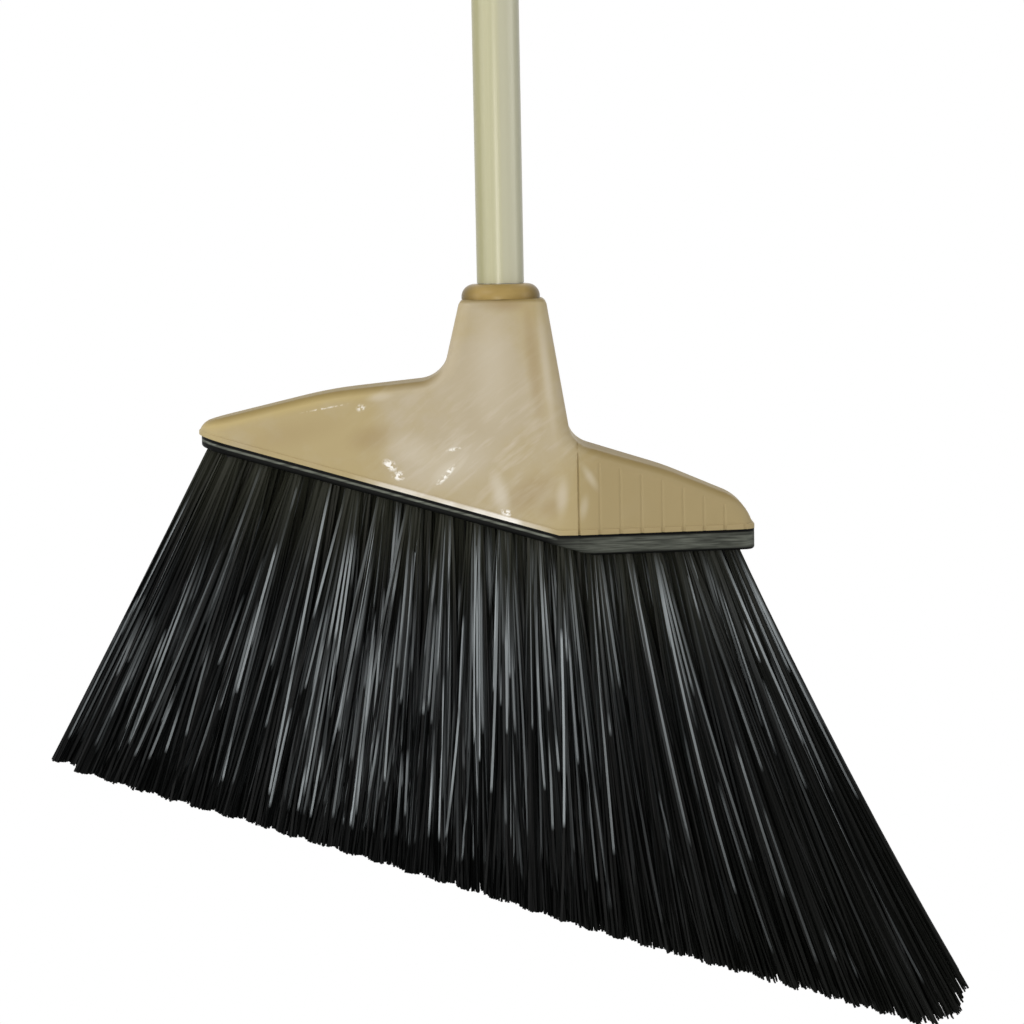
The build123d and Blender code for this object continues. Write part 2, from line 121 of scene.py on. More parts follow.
# Screw tip of the handle
THREAD_R = 9.5 * MM
THREAD_DEPTH = 1.2 * MM
THREAD_LEAD = 5.08 * MM
THREAD_LENGTH = 30.0 * MM
THREAD_CHAMFER = 2.0 * MM
THREAD_RIDGE = 0.44  # share of the lead that is ridge
THREAD_FLANK = 0.12  # share of the lead that is flank
TIP_PLUG_R = 9.85 * MM
TIP_FLANGE = 2.0 * MM
TIP_CORE_R = 5.0 * MM
TIP_FLOOR = 5.0 * MM
TIP_SIDES = 48
THREAD_RINGS = 97

# Fan and trim of the bristles
HEEL_X = -143.4 * MM
TOE_X = 117.4 * MM
CREASE_HALF = 28.0 * MM
HEEL_FAN = math.radians(28.4)
TOE_FAN = math.radians(28.1)
HEEL_FAN_POWER = 1.2
TOE_FAN_POWER = 1.5
ROW_FLARE = math.tan(math.radians(5.8))
TRIM = math.tan(math.radians(18.0))
TRIM_Z = RING_TOP_Z - 290.0 * MM
TOE_FLOOR_Z = RING_TOP_Z - 352.0 * MM

# Rows, strips and strands
ROWS = 6
ROW_TUFTS = 17
ANCHOR_TO_FIELD = 3.9 * MM  # from the middle of a tuft's anchor down to the block's lower face
STRIP_T = 2.6 * MM
STRIP_END = 4.0 * MM  # strip beyond its first and last tuft
TUFT_STRANDS = 140
STRAND_R = 0.48 * MM  # thicker than a real strand, so that it shows
PROUD_R = 0.64 * MM  # of the strands that stand out from a row
PROUD_STEP = 11  # one strand in so many stands out
PROUD_PLACE = 1.05  # of half the row's width, from its middle
INNER_PLACE = 0.85  # the same for the other strands, at most
INNER_POWER = 1.5  # above 1, more of them lie towards the outer side
STRAND_SIDES = 3
STRAND_RINGS = 9
STRAND_T = np.linspace(0, 1, STRAND_RINGS)[:, None]  # share of a strand's length at each ring
STRAND_ROOT = 1.2 * MM  # strand inside its strip
ROOT_HALF = 3.3 * MM  # half length of a tuft at the block
HEEL_ROOT_HALF = 6.2 * MM  # on the outer side of the heel's last tuft
ROOT_DEPTH = 0.6  # depth of a tuft at the block, as a share of the row's width
SPREAD_HALF = 8.0 * MM  # half length of a tuft at its tips, before the fan widens it
HEEL_END = 7.6 * MM  # from the last tuft to the outermost strands
TOE_END = 5.6 * MM
END_CALM = 12.0 * MM  # from each end of a row, where the strands lie straighter
END_LOOSE = 0.25  # share of the bend and splay that is left there
TOE_BOW = 3.3 * MM
BEND = 1.4 * MM
PROUD_BEND_DEPTH = 0.6  # share of a proud strand's bend that goes outwards
INNER_BEND_DEPTH = 0.3
SPLAY = 2.0 * MM
SPLAY_DEPTH = 0.4  # share of the splay that goes front to back
TWIST = 0.9  # radians along a strand
TRIM_RAG = 0.08 * MM
TOE_RAG = 1.0 * MM
TOE_RAG_POWER = 6
TUFT_RAG = 0.15 * MM
TRIM_LOBE = 14.0 * MM  # width of one lobe of the trimmed edge
LOBE_DEPTH = 1.5 * MM
TOE_ROUND = 28.0 * MM  # worn off the toe's lower corner
TOE_ROUND_FROM = 0.9  # of the way to the toe
TOE_ROUND_OVER = 0.07
END_SAG = 2.0 * MM  # how far both ends hang below the straight cut

# Painted light on the strands, as glints and a dim sheen, at these places along the head
LIGHT_X = (HEEL_X, 0.6 * HEEL_X, 0.45 * HEEL_X, 0, 0.25 * TOE_X, 0.5 * TOE_X, TOE_X)
BRIGHT_SHARE = (0.95, 0.46, 0.95, 0.9, 0.55, 0.28, 0.75)  # of the proud strands
DIM_LIGHT = (0.07, 0.07, 0.3, 0.42, 0.14, 0.1, 0.1)  # on the other strands, at most
LIGHT_LEVEL = (0.78, 0.7, 0.86, 0.84, 0.66, 0.5, 0.52)
STREAK_START = (0.1, 0.06, 0.045, 0, 0, 0, 0)  # of a strand's length, at least
START_SPREAD = (0.6, 0.48, 0.44, 0.3, 0.165, 0.03, 0.03)
FULL_STREAKS = (0.5, 0.5, 0.47, 0.2, 0.3, 0.35, 0.2)  # share of the streaks that run to the trim
STREAK_LOSS = (0.7, 0.72, 0.73, 0.75, 0.8, 0.85, 0.95)  # shortens the other streaks
START_POWER = 1.4
START_SOFT = 0.06  # of a strand's length, over which a streak comes up
STREAK_END = 0.94
STREAK_END_RAG = 0.02
BRIGHT_LEAST = 0.3
TOE_GAIN = 0.8  # more light at the toe's roots
TOE_FADE = 2.4  # less towards its tips
TOE_FADE_LEAST = 0.32
GLINTS_ALONG = 1.7  # glints along a strand
GLINT_FIELD = 1000  # each strand has its own place in a field so wide
DUST_REACH = 0.3  # of a strand's length, from the block
TOE_CLEAN = 0.5  # share of that dust that the toe lacks
TOE_SHEEN = 0.13  # painted sheen on the tips of the toe

# White surround and floor
WHITE = (1, 1, 1, 1)
SURROUND_LIGHT = 0.5  # of the surround's strength, for the light that it gives
FLOOR_LIGHT = 0.4  # the floor's own light, which keeps its shadow pale
FLOOR_HALF = 8.0
FLOOR_DROP = 0.28  # from the bristles' tips to the floor
FLOOR_NEAR = 0.45  # round the broom, where the floor shows its shadow
FLOOR_FAR = 0.9  # where it has gone over to white

# Soft boxes: place across, in depth and above the ring's top, width, power and colour
SOFT_BOXES = {
    "front_soft_box": (-0.25, -1.5, 0.0, 0.3, 4.7, "#fffaf2"),
    "low_soft_box": (-0.25, -1.5, -0.42, 0.3, 2, "#f4f8ff"),
    "top_soft_box": (-0.9, -0.7, 1.0, 0.8, 7, "#ffffff"),
    "left_soft_box": (-1.6, -0.4, 0.3, 0.9, 5, "#ffffff"),
    "right_soft_box": (1.6, -0.3, 0.4, 0.9, 5.5, "#ffffff"),
    "rear_soft_box": (0.5, 1.8, 0.7, 0.9, 8, "#ffffff"),
}
LIT_BELOW_RING = 0.12  # the boxes aim so far below the ring's top

# Camera
CAMERA_PLACE = (3.41 * MM, -1343.62 * MM, RING_TOP_Z + 32.92 * MM)
CAMERA_PITCH = math.radians(6.0)
CAMERA_ROLL = math.radians(1.085)
LENS = 100
SENSOR = 36


def linear(code):
    """An sRGB hex code as linear RGBA."""
    srgb = np.array([int(code[i : i + 2], 16) for i in (1, 3, 5)]) / 255
    rgb = np.where(srgb <= 0.04045, srgb / 12.92, ((srgb + 0.055) / 1.055) ** 2.4)
    return (*rgb.tolist(), 1.0)


def add(tree, kind, inputs, **settings):
    """Adds a node with its settings, and sets or links its inputs."""
    node = tree.nodes.new("ShaderNode" + kind)
    for name, value in settings.items():
        setattr(node, name, value)
    for name, value in inputs.items():
        if isinstance(value, bpy.types.NodeSocket):
            tree.links.new(value, node.inputs[name])
        else:
            node.inputs[name].default_value = value
    return node


def blank(name):
    """An empty material, its node tree and the Object coordinates of the piece that it is on."""
    material = bpy.data.materials.new(name)
    material.use_nodes = True
    tree = material.node_tree
    tree.nodes.clear()
    return material, tree, add(tree, "TexCoord", {}).outputs["Object"]


def surface(tree, inputs):
    """Ends a material in one shader with these inputs."""
    shader = add(tree, "BsdfPrincipled", inputs)
    add(tree, "OutputMaterial", {"Surface": shader.outputs[0]})


def cream_vinyl():
    """Cream vinyl sleeve, drawn and shrunk over the tube: faint lengthwise lines under a soft gloss.

    The lines are drawn wider than real ones, so that they show. Bands across it are painted light and shade.
    """
    material, tree, place = blank("drawn_cream_vinyl")
    line_width, line_length = 1.6 * MM, 500 * MM
    scale = (1 / line_width, 1 / line_width, 1 / line_length)
    drawn = add(tree, "Mapping", {"Vector": place, "Scale": scale})
    lines = add(tree, "TexNoise", {"Vector": drawn.outputs[0], "Scale": 1.0, "Detail": 2.0})
    tint = add(
        tree,
        "Mix",
        {0: lines.outputs[0], 6: linear("#aeab88"), 7: linear("#c0bd9c")},
        data_type="RGBA",
    )
    axes = add(tree, "SeparateXYZ", {"Vector": place})
    # bands of painted shade towards the edges and painted light right of the middle
    for start, full, share, code in SLEEVE_LIGHT_AND_SHADE:
        painted_light_and_shade = add(
            tree,
            "MapRange",
            {"Value": axes.outputs["X"], "From Min": start * MM, "From Max": full * MM, "To Max": share},
        )
        tint = add(tree, "Mix", {0: painted_light_and_shade.outputs[0], 6: tint.outputs[2], 7: linear(code)}, data_type="RGBA")
    relief = add(tree, "Bump", {"Height": lines.outputs[0], "Strength": 0.5, "Distance": 0.12 * MM})
    surface(tree, {"Base Color": tint.outputs[2], "Roughness": 0.3, "Normal": relief.outputs[0]})
    return material


def marks(tree, place, places):
    """The strongest of some oval marks, fading from the middle of each to its edge."""
    strongest = None
    for x, below, half_length, half_width, rise, strength in places:
        local = add(
            tree,
            "Mapping",
            {
                "Vector": place,
                "Location": (x * MM, MARK_Y, RING_TOP_Z - below * MM),
                "Rotation": (0, -math.radians(rise), 0),
                "Scale": (half_length * MM, MARK_HALF_DEPTH, half_width * MM),
            },
            vector_type="TEXTURE",
        )
        away = add(tree, "VectorMath", {0: local.outputs[0]}, operation="LENGTH")
        mark = add(
            tree,
            "MapRange",
            {
                "Value": away.outputs["Value"],
                "From Min": MARK_CORE,
                "From Max": MARK_EDGE,
                "To Min": strength,
                "To Max": 0.0,
            },
            interpolation_type="SMOOTHSTEP",
        )
        if strongest:
            mark = add(tree, "Math", {0: strongest.outputs[0], 1: mark.outputs[0]}, operation="MAXIMUM")
        strongest = mark
    return strongest.outputs[0]


def above_lip(tree, axes, near, far):
    """Share from 0 to 1 between two heights above the cap's slanted lower edge under the heel."""
    level = add(
        tree,
        "Math",
        {0: axes.outputs["X"], 1: HEEL_RISE, 2: axes.outputs["Z"]},
        operation="MULTIPLY_ADD",
    )
    edge = EDGE_Z + BEND_X * HEEL_RISE
    share = add(
        tree,
        "MapRange",
        {"Value": level.outputs[0], "From Min": edge + near, "From Max": edge + far},
    )
    return share.outputs[0]


def dust_and_sheen_share(tree, place):
    """Share of dust and painted sheen on the cap: full round the neck's foot, and none on the outer wings.
    """
    away = add(tree, "VectorMath", {0: place, 1: DUST_AND_SHEEN_MIDDLE}, operation="DISTANCE")
    share = add(
        tree,
        "MapRange",
        {
            "Value": away.outputs["Value"],
            "From Min": DUST_AND_SHEEN_CORE,
            "From Max": DUST_AND_SHEEN_EDGE,
            "To Min": 1.0,
            "To Max": 0.0,
        },
        interpolation_type="SMOOTHSTEP",
    )
    return share.outputs[0]


def painted_light_on_slope(tree, axes, facing):
    """Share of painted light, a stronger yellow, on the sloping upper side of the outer heel wing."""
    upwards = add(
        tree,
        "MapRange",
        {"Value": facing.outputs["Z"], "From Min": 0.05, "From Max": 0.6, "To Max": 0.45},
        interpolation_type="SMOOTHSTEP",
    )
    outer = add(
        tree,
        "MapRange",
        {"Value": axes.outputs["X"], "From Min": -30 * MM, "From Max": -80 * MM},
        interpolation_type="SMOOTHSTEP",
    )
    share = above_lip(tree, axes, 3.0 * MM, 4.0 * MM)
    for factor in (upwards, outer):
        share = add(tree, "Math", {0: share, 1: factor.outputs[0]}, operation="MULTIPLY").outputs[0]
    return share


def shaded_tops(tree, axes, facing):
    """Share of painted shade, in brown, on what faces straight up, apart from the bead along the lower edge.
    """
    upwards = add(
        tree,
        "MapRange",
        {"Value": facing.outputs["Z"], "From Min": 0.5, "From Max": 0.95, "To Max": 0.8},
    )
    over_bead = add(
        tree,
        "MapRange",
        {"Value": axes.outputs["Z"], "From Min": EDGE_Z + 3 * MM, "From Max": EDGE_Z + 4 * MM},
    )
    share = above_lip(tree, axes, 3.0 * MM, 4.0 * MM)
    for factor in (upwards, over_bead):
        share = add(tree, "Math", {0: share, 1: factor.outputs[0]}, operation="MULTIPLY").outputs[0]
    return share


def wiped_dust_and_sheen(tree, place, axes, dust_and_sheen):
    """Share of pale slanted wipes in the dust and painted sheen, fainter on the neck than on the wing."""
    wipe_length, wipe_width, wipe_rise = 22 * MM, 4 * MM, math.radians(38)
    slanted = add(
        tree,
        "Mapping",
        {
            "Vector": place,
            "Rotation": (0, -wipe_rise, 0),
            "Scale": (wipe_length, wipe_length, wipe_width),
        },
        vector_type="TEXTURE",
    )
    streaks = add(
        tree,
        "TexNoise",
        {"Vector": slanted.outputs[0], "Scale": 1.0, "Detail": 3.0, "Roughness": 0.6},
    )
    pale = add(
        tree,
        "MapRange",
        {"Value": streaks.outputs[0], "From Min": 0.48, "From Max": 0.72, "To Max": 0.4},
    )
    wing = add(
        tree,
        "MapRange",
        {
            "Value": axes.outputs["Z"],
            "From Min": RING_TOP_Z - 40 * MM,
            "From Max": RING_TOP_Z - 75 * MM,
            "To Min": 0.25,
        },
    )
    share = dust_and_sheen
    for factor in (pale, wing):
        share = add(tree, "Math", {0: share, 1: factor.outputs[0]}, operation="MULTIPLY").outputs[0]
    return share


def lip_highlight(tree, place, axes):
    """Share of a patchy painted highlight on the lip of the heel wing, from its middle to the bend."""
    patch = 16 * MM
    patches = add(tree, "TexNoise", {"Vector": place, "Scale": 1 / patch, "Detail": 3.0})
    patchy = add(
        tree,
        "MapRange",
        {"Value": patches.outputs[0], "From Min": 0.35, "From Max": 0.6, "To Min": 0.35},
    )
    from_heel = add(
        tree,
        "MapRange",
        {"Value": axes.outputs["X"], "From Min": -75 * MM, "From Max": -40 * MM, "To Max": 0.95},
        interpolation_type="SMOOTHSTEP",
    )
    to_bend = add(
        tree,
        "MapRange",
        {"Value": axes.outputs["X"], "From Min": BEND_X, "From Max": BEND_X - 16 * MM},
        interpolation_type="SMOOTHSTEP",
    )
    share = above_lip(tree, axes, 2.6 * MM, 1.6 * MM)
    for factor in (from_heel, to_bend, patchy):
        share = add(tree, "Math", {0: share, 1: factor.outputs[0]}, operation="MULTIPLY").outputs[0]
    return share


def glints_on_scuffs(tree, place):
    """Share of painted glints, broken into small spots, on the scuffs."""
    chip = 1.8 * MM
    chips = add(tree, "TexNoise", {"Vector": place, "Scale": 1 / chip, "Detail": 1.0, "Distortion": 0.6})
    broken = add(tree, "MapRange", {"Value": chips.outputs[0], "From Min": 0.42, "From Max": 0.58})
    share = add(tree, "Math", {0: marks(tree, place, SCUFF_GLINTS), 1: broken.outputs[0]}, operation="MULTIPLY")
    return share.outputs[0]


def tan_polypropylene():
    """Tan moulded polypropylene: yellow, dust and painted sheen at the neck, rubs, painted light, shade."""
    material, tree, place = blank("moulded_tan_polypropylene")
    cloud, wave = 30 * MM, 18 * MM
    axes = add(tree, "SeparateXYZ", {"Vector": place})
    facing = add(tree, "SeparateXYZ", {"Vector": add(tree, "NewGeometry", {}).outputs["Normal"]})
    clouds = add(tree, "TexNoise", {"Vector": place, "Scale": 1 / cloud, "Detail": 5.0, "Roughness": 0.6})
    uneven = add(
        tree,
        "MapRange",
        {"Value": clouds.outputs[0], "From Min": 0.3, "From Max": 0.7, "To Min": -0.5, "To Max": 0.5},
    )
    dust_and_sheen = dust_and_sheen_share(tree, place)
    grey = add(tree, "Math", {0: dust_and_sheen, 1: uneven.outputs[0]}, operation="ADD", use_clamp=True)
    # greyer round the neck, from dust and from a painted sheen
    tint = add(
        tree,
        "Mix",
        {0: grey.outputs[0], 6: linear("#af9e75"), 7: linear("#b5a88e")},
        data_type="RGBA",
    )
    # painted shade: the toe wing darker, as it faces away from the light
    toe = add(
        tree,
        "MapRange",
        {"Value": axes.outputs["X"], "From Min": BEND_X, "From Max": BEND_X + 20 * MM, "To Max": 0.8},
    )
    # painted glints on the scuffs, and a painted highlight along the lip
    glints_and_highlight = add(
        tree,
        "Math",
        {0: glints_on_scuffs(tree, place), 1: lip_highlight(tree, place, axes)},
        operation="MAXIMUM",
        use_clamp=True,
    )
    layers = (
        (toe.outputs[0], "#a08f69"),
        # painted light on the upward-sloping side of the heel wing
        (painted_light_on_slope(tree, axes, facing), "#bfaa70"),
        # stains, and painted shade under the ring and on the neck
        (marks(tree, place, STAINS_AND_SHADE), "#9c8761"),
        # painted shade on what faces straight up
        (shaded_tops(tree, axes, facing), "#85703a"),
        # smears and painted highlights
        (marks(tree, place, SMEARS_AND_HIGHLIGHTS), "#cfc6b4"),
        # pale wipes in the dust and painted sheen
        (wiped_dust_and_sheen(tree, place, axes, dust_and_sheen), "#d3cbbd"),
        # painted glints and the painted lip highlight, near white
        (glints_and_highlight.outputs[0], "#f4f0e8"),
    )
    for share, code in layers:
        tint = add(tree, "Mix", {0: share, 6: tint.outputs[2], 7: linear(code)}, data_type="RGBA")
    waves = add(tree, "TexNoise", {"Vector": place, "Scale": 1 / wave, "Detail": 1.0})
    relief = add(tree, "Bump", {"Height": waves.outputs[0], "Strength": 1.0, "Distance": 0.6 * MM})
    surface(
        tree,
        {
            "Base Color": tint.outputs[2],
            "Roughness": 0.42,
            "Specular IOR Level": 0.06,
            "Normal": relief.outputs[0],
        },
    )
    return material


def amber_polypropylene():
    """Amber moulded polypropylene, slightly clear: a soft gloss, painted brown shade where it turns away."""
    material, tree, place = blank("moulded_amber_polypropylene")
    cloud = 9 * MM
    clouds = add(tree, "TexNoise", {"Vector": place, "Scale": 1 / cloud, "Detail": 2.0})
    tint = add(
        tree,
        "Mix",
        {0: clouds.outputs[0], 6: linear("#967d45"), 7: linear("#aa925c")},
        data_type="RGBA",
    )
    axes = add(tree, "SeparateXYZ", {"Vector": place})
    off = add(tree, "Math", {0: axes.outputs["X"]}, operation="ABSOLUTE")
    # painted shade, browner towards the ring's ends, where it turns away
    end = add(
        tree,
        "MapRange",
        {"Value": off.outputs[0], "From Min": 11 * MM, "From Max": 18 * MM, "To Max": 0.9},
    )
    tint = add(
        tree,
        "Mix",
        {0: end.outputs[0], 6: tint.outputs[2], 7: linear("#5a4708")},
        data_type="RGBA",
    )
    surface(tree, {"Base Color": tint.outputs[2], "Roughness": 0.3, "Specular IOR Level": 0.15})
    return material


def black_polypropylene(name):
    """Black moulded polypropylene with a fine grain, drawn coarser than the real one so that it shows."""
    material, tree, place = blank(name)
    grain = 0.5 * MM
    pits = add(tree, "TexNoise", {"Vector": place, "Scale": 1 / grain, "Detail": 3.0})
    tint = add(
        tree,
        "Mix",
        {0: pits.outputs[0], 6: linear("#121312"), 7: linear("#1d1f1e")},
        data_type="RGBA",
    )
    relief = add(tree, "Bump", {"Height": pits.outputs[0], "Strength": 0.4, "Distance": 0.06 * MM})
    surface(tree, {"Base Color": tint.outputs[2], "Roughness": 0.5, "Normal": relief.outputs[0]})
    return material


def scraped_toe(tree, axes):
    """Share of scraping on the side of the block's toe, between its upper and its lower edge."""
    toe = add(
        tree,
        "MapRange",
        {
            "Value": axes.outputs["X"],
            "From Min": BEND_X - 6 * MM,
            "From Max": BEND_X + 14 * MM,
            "To Max": 0.36,
        },
    )
    under_cap = add(
        tree,
        "MapRange",
        {"Value": axes.outputs["Z"], "From Min": EDGE_Z - 1.2 * MM, "From Max": EDGE_Z - 2.0 * MM},
    )
    over_foot = add(
        tree,
        "MapRange",
        {"Value": axes.outputs["Z"], "From Min": EDGE_Z - 9.0 * MM, "From Max": EDGE_Z - 8.0 * MM},
    )
    share = toe.outputs[0]
    for factor in (under_cap, over_foot):
        share = add(tree, "Math", {0: share, 1: factor.outputs[0]}, operation="MULTIPLY").outputs[0]
    return share


def heel_edge_highlight(tree, axes):
    """Share of a painted highlight along a thin line on the block's side under the heel wing."""
    heel = add(
        tree,
        "MapRange",
        {"Value": axes.outputs["X"], "From Min": BEND_X, "From Max": BEND_X - 4 * MM, "To Max": 0.6},
    )
    share = heel.outputs[0]
    for factor in (above_lip(tree, axes, -1.5 * MM, -1.9 * MM), above_lip(tree, axes, -3.0 * MM, -2.5 * MM)):
        share = add(tree, "Math", {0: share, 1: factor}, operation="MULTIPLY").outputs[0]
    return share


def scratched_polypropylene():
    """Black moulded polypropylene: scraped grey on the toe, a painted highlight along the top under the
    heel.

    The scratches are drawn wider than real ones, so that they show.
    """
    material, tree, place = blank("scratched_black_polypropylene")
    scratch_length, scratch_depth, scratch_width = 16 * MM, 4 * MM, 0.9 * MM
    drag = add(
        tree,
        "Mapping",
        {"Vector": place, "Scale": (1 / scratch_length, 1 / scratch_depth, 1 / scratch_width)},
    )
    scratches = add(tree, "TexNoise", {"Vector": drag.outputs[0], "Scale": 1.0, "Detail": 3.0})
    axes = add(tree, "SeparateXYZ", {"Vector": place})
    # scrapes on the toe, and the painted highlight under the heel
    scrapes_and_highlight = add(
        tree,
        "Math",
        {0: scraped_toe(tree, axes), 1: heel_edge_highlight(tree, axes)},
        operation="MAXIMUM",
    )
    streak = add(
        tree,
        "MapRange",
        {"Value": scratches.outputs[0], "From Min": 0.35, "From Max": 0.75, "To Min": 0.55, "To Max": 1.9},
    )
    grey = add(
        tree,
        "Math",
        {0: scrapes_and_highlight.outputs[0], 1: streak.outputs[0]},
        operation="MULTIPLY",
        use_clamp=True,
    )
    tint = add(
        tree,
        "Mix",
        {0: grey.outputs[0], 6: linear("#070807"), 7: linear("#7a7e74")},
        data_type="RGBA",
    )
    relief = add(tree, "Bump", {"Height": scratches.outputs[0], "Strength": 0.4, "Distance": 0.1 * MM})
    surface(
        tree,
        {
            "Base Color": tint.outputs[2],
            "Roughness": 0.5,
            "Specular IOR Level": 0.08,
            "Normal": relief.outputs[0],
        },
    )
    return material


def steel(name, code, roughness, streak):
    """Bare or plated steel, rolled and drawn: duller and brighter streaks along the handle's axis.

    The streaks are drawn coarser than real ones, so that they show.
    """
    material, tree, place = blank(name)
    streak_length = 40 * streak
    uneven = 0.12
    drawn = add(tree, "Mapping", {"Vector": place, "Scale": (1 / streak, 1 / streak, 1 / streak_length)})
    streaks = add(tree, "TexNoise", {"Vector": drawn.outputs[0], "Scale": 1.0, "Detail": 2.0})
    rough = add(
        tree,
        "MapRange",
        {"Value": streaks.outputs[0], "To Min": roughness - uneven, "To Max": roughness + uneven},
    )
    surface(tree, {"Base Color": linear(code), "Metallic": 1.0, "Roughness": rough.outputs[0]})
    return material


def black_bristle():
    """Black drawn polyester: painted glints and sheen, dust at the block, dark cut ends."""
    material, tree, _ = blank("drawn_black_polyester")
    strand = add(tree, "UVMap", {}, uv_map="strand")
    light = add(tree, "Attribute", {}, attribute_name="light")
    reach = add(tree, "Attribute", {}, attribute_name="reach")
    dust_and_sheen = add(tree, "Attribute", {}, attribute_name="dust_and_sheen")
    glints = add(
        tree,
        "TexNoise",
        {"Vector": strand.outputs[0], "Scale": 1.0, "Detail": 1.0},
        noise_dimensions="2D",
    )
    haze = add(
        tree,
        "TexNoise",
        {"Vector": strand.outputs[0], "Scale": 0.4, "Detail": 0.0},
        noise_dimensions="2D",
    )
    bright = add(tree, "MapRange", {"Value": glints.outputs[0], "From Min": 0.47, "From Max": 0.53})
    dim = add(
        tree,
        "MapRange",
        {"Value": haze.outputs[0], "From Min": 0.35, "From Max": 0.7, "To Max": 0.28},
    )
    uncut = add(tree, "MapRange", {"Value": reach.outputs["Fac"], "From Max": 0.02})
    shade = add(tree, "Math", {0: bright.outputs[0], 1: dim.outputs[0]}, operation="MAXIMUM").outputs[0]
    for factor in (light.outputs["Fac"], uncut.outputs[0]):
        shade = add(tree, "Math", {0: shade, 1: factor}, operation="MULTIPLY").outputs[0]
    # dust at the roots and painted sheen on the toe's tips, olive on the black
    dark = add(
        tree,
        "Mix",
        {0: dust_and_sheen.outputs["Fac"], 6: linear("#090a0a"), 7: linear("#2c2d25")},
        data_type="RGBA",
    )
    # painted glints and a dim painted sheen: grey on the black strands
    tint = add(tree, "Mix", {0: shade, 6: dark.outputs[2], 7: linear("#aab1b4")}, data_type="RGBA")
    surface(tree, {"Base Color": tint.outputs[2], "Roughness": 0.4, "Specular IOR Level": 0.07})
    return material


def piece(name, vertices, faces, material, body, node):
    """A mesh piece from whole arrays, riding on a body in place of its CAD node."""
    mesh = bpy.data.meshes.new(name)
    mesh.from_pydata(vertices, [], faces)
    mesh.materials.append(material)
    thing = bpy.data.objects.new(name, mesh)
    bpy.context.scene.collection.objects.link(thing)
    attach(thing, body)
    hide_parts(node)
    return thing


def tube_faces(count, rings, sides):
    """Triangles of count closed tubes of rings by sides vertices, with both ends capped, facing outwards."""
    start = np.arange(count)[:, None, None] * rings * sides
    ring = np.arange(rings - 1)[None, :, None] * sides
    side = np.arange(sides)[None, None, :]
    after = (side + 1) % sides
    a, b = start + ring + side, start + ring + after
    c, d = a + sides, b + sides
    walls = np.stack([np.stack([a, c, d], -1), np.stack([a, d, b], -1)], 3).reshape(-1, 3)
    fan = np.stack([np.zeros(sides - 2, int), np.arange(1, sides - 1), np.arange(2, sides)], -1)
    top = (start + fan[None]).reshape(-1, 3)
    foot = (start + (rings - 1) * sides + fan[None, :, ::-1]).reshape(-1, 3)
    return np.concatenate([walls, top, foot])


def threaded_tip(material):
    """Screw tip: a profile turned about the handle's axis, with a helical groove in its stub.

    On the stub r = crest - depth g, where g goes from 0 on the ridge to 1 in the groove with
    (z / lead - angle / 2 pi) mod 1. The groove runs out towards the seat, and the end is chamfered.
    """
    low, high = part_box("threaded_tip")
    seat = low.z + THREAD_LENGTH
    angle = np.arange(TIP_SIDES) * 2 * math.pi / TIP_SIDES
    stub_z = np.linspace(seat, low.z, THREAD_RINGS)[:, None]
    phase = (stub_z / THREAD_LEAD - angle / (2 * math.pi)) % 1
    groove = np.clip((np.abs(2 * phase - 1) - THREAD_RIDGE) / THREAD_FLANK, 0, 1)
    groove = groove * np.clip((seat - stub_z) / THREAD_LEAD, 0, 1)
    chamfer = THREAD_R - THREAD_CHAMFER + stub_z - low.z
    stub_r = np.minimum(THREAD_R - THREAD_DEPTH * groove, chamfer)
    plain = np.array([
        (TIP_CORE_R, low.z + TIP_FLOOR),
        (TIP_CORE_R, high.z),
        (TIP_PLUG_R, high.z),
        (TIP_PLUG_R, seat + TIP_FLANGE),
        (high.x, seat + TIP_FLANGE),
        (high.x, seat),
    ])
    r = np.concatenate([np.broadcast_to(plain[:, :1], (len(plain), TIP_SIDES)), stub_r])
    z = np.broadcast_to(np.concatenate([plain[:, 1:], stub_z]), r.shape)
    vertices = np.stack([r * np.cos(angle), r * np.sin(angle), z], -1).reshape(-1, 3)
    faces = tube_faces(1, *r.shape)
    piece("threaded_tip_moulding", vertices, faces, material, "handle", "threaded_tip")


def anchors():
    """Middles of the tuft anchors as rows by tufts by 3, from the front row to the back."""
    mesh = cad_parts["tuft_anchors"].data
    points = np.empty(len(mesh.vertices) * 3)
    mesh.vertices.foreach_get("co", points)
    points = points.reshape(ROWS, ROW_TUFTS, -1, 3)
    return (points.min(2) + points.max(2)) / 2


def strip(tufts, half):
    """The slice of the block that a row's tufts stand in: a box section carried along the tufts."""
    x, y, z = tufts.T
    x = np.concatenate([x[:1] - STRIP_END, x, x[-1:] + STRIP_END])
    y = np.interp(x, tufts[:, 0], y)
    low = np.interp(x, tufts[:, 0], z) - ANCHOR_TO_FIELD
    half = np.interp(x, tufts[:, 0], half)
    across = np.stack([y - half, y + half, y + half, y - half], -1)
    up = np.stack([low, low, low + STRIP_T, low + STRIP_T], -1)
    return np.stack([np.broadcast_to(x[:, None], across.shape), across, up], -1)


def along_head(x, values):
    """A value given at the places of the light along the head, in straight steps between them."""
    return np.interp(x, LIGHT_X, values)


